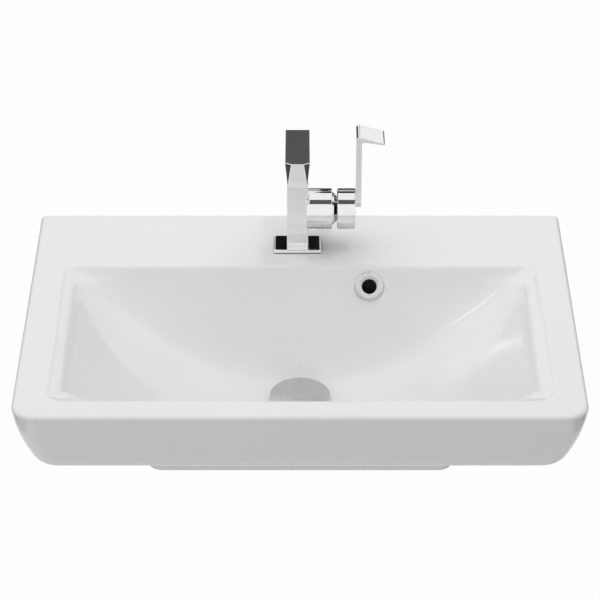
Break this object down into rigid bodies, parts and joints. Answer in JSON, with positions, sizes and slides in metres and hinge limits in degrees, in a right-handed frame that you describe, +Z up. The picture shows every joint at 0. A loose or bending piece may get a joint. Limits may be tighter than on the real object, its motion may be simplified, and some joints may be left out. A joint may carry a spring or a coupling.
{
  "type": "washbasin",
  "caption": "Wall-hung rectangular washbasin with a single-lever mixer tap on its deck, an overflow and a push waste.",
  "frame": {"origin": "midway between the two wall-bolt holes, on the wall plane", "axes": "+X to the right seen from the front, +Y into the wall, +Z up"},
  "size_m": [0.55, 0.37, 0.3065],
  "materials": {
    "glaze": "glossy white glaze",
    "disc_ceramic": "lapped",
    "chrome": "polished",
    "steel": "zinc plated",
    "brass": "machined",
    "rubber": "matte",
    "white_plastic": "moulded",
    "grey_plastic": "moulded"
  },
  "bodies": {
    "root": {"basin_body": "glaze", "overflow_ring": "chrome", "wall_sleeves": "white_plastic", "tap_gasket": "rubber", "tap_base_plate": "chrome", "tap_body": "chrome", "aerator_washer": "rubber", "aerator_insert": "white_plastic", "aerator_housing": "chrome", "fixing_stud": "steel", "horseshoe_rubber": "rubber", "horseshoe_plate": "steel", "fixing_nut": "brass", "port_seals": "rubber", "cartridge_housing": "white_plastic", "fixed_disc": "disc_ceramic", "retaining_nut": "brass", "cover_ring": "chrome", "flange_gasket": "rubber", "waste_body": "chrome", "cone_gasket": "rubber", "slip_washer": "white_plastic", "back_nut": "brass", "plug_guide": "white_plastic", "plug_spring": "steel"},
    "carrier": {"turning_carrier": "grey_plastic"},
    "disc": {"moving_disc": "disc_ceramic"},
    "handle": {"tilting_stem": "steel", "handle_hub": "chrome", "grub_screw": "steel", "grub_cover": "grey_plastic", "lever_screws": "steel", "lever_plate": "chrome"},
    "plug": {"plug_stem": "brass", "plug_seal": "rubber", "plug_cap": "chrome"}
  },
  "joints": [
    {"name": "temperature_turn", "type": "hinge", "parent": "root", "child": "carrier", "pos_m": [0.027, -0.0587, 0.1235], "axis": [1, 0, 0], "range_deg": [-28, 62]},
    {"name": "flow_tilt", "type": "hinge", "parent": "carrier", "child": "handle", "pos_m": [0.027, -0.0587, 0.1235], "axis": [0, 1, 0], "range_deg": [0, 12]},
    {"name": "disc_slide", "type": "slide", "parent": "carrier", "child": "disc", "axis": [0, 0, 1], "range_m": [0, 0.0015]},
    {"name": "plug_slide", "type": "slide", "parent": "root", "child": "plug", "axis": [0, 0, 1], "range_m": [0, 0.008], "deforming": ["plug_spring"]}
  ],
  "couplings": [
    {"joint": "disc_slide", "follows": "flow_tilt", "m_per_rad": 0.007}
  ]
}
